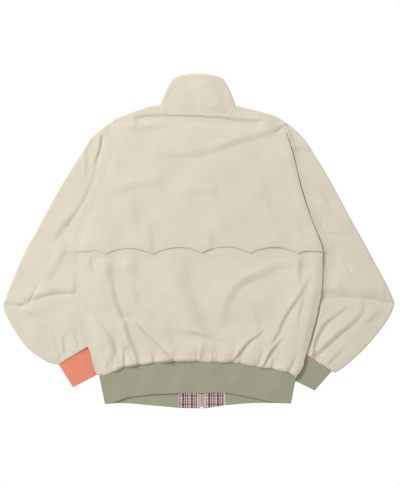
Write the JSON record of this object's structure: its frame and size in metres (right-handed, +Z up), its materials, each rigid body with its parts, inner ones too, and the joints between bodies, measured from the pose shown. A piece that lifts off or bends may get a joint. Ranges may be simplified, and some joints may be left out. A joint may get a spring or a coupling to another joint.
{
  "type": "harrington jacket",
  "caption": "Cream zip-front harrington jacket laid flat with its back up, with a scalloped back yoke, a stand collar, a sage rib hem, and one coral and one sage cuff.",
  "frame": {"origin": "middle of the jacket's outline, on the surface it lies on", "axes": "+X towards the right sleeve, +Y towards the collar, +Z up, away from the surface"},
  "size_m": [0.8994, 0.77, 0.0151],
  "materials": {
    "shell": "cream cotton twill, matte",
    "sage_rib": "sage rib knit, matte",
    "coral_rib": "coral rib knit, matte",
    "check": "checked cotton lining, matte",
    "tape": "woven zip tape, matte",
    "chain": "coil zip teeth, satin"
  },
  "bodies": {
    "root": {"back_panel": "shell", "back_yoke": "shell", "collar": "shell", "front_left": "shell", "front_right": "shell", "hem_tab_left": "shell", "hem_tab_right": "shell", "sleeve_left": "shell", "sleeve_right": "shell", "hem_rib": "sage_rib", "cuff_right": "sage_rib", "cuff_left": "coral_rib", "facing_left": "check", "facing_right": "check", "zip_tape_left": "tape", "zip_tape_right": "tape", "zip_chain": "chain"}
  },
  "joints": []
}
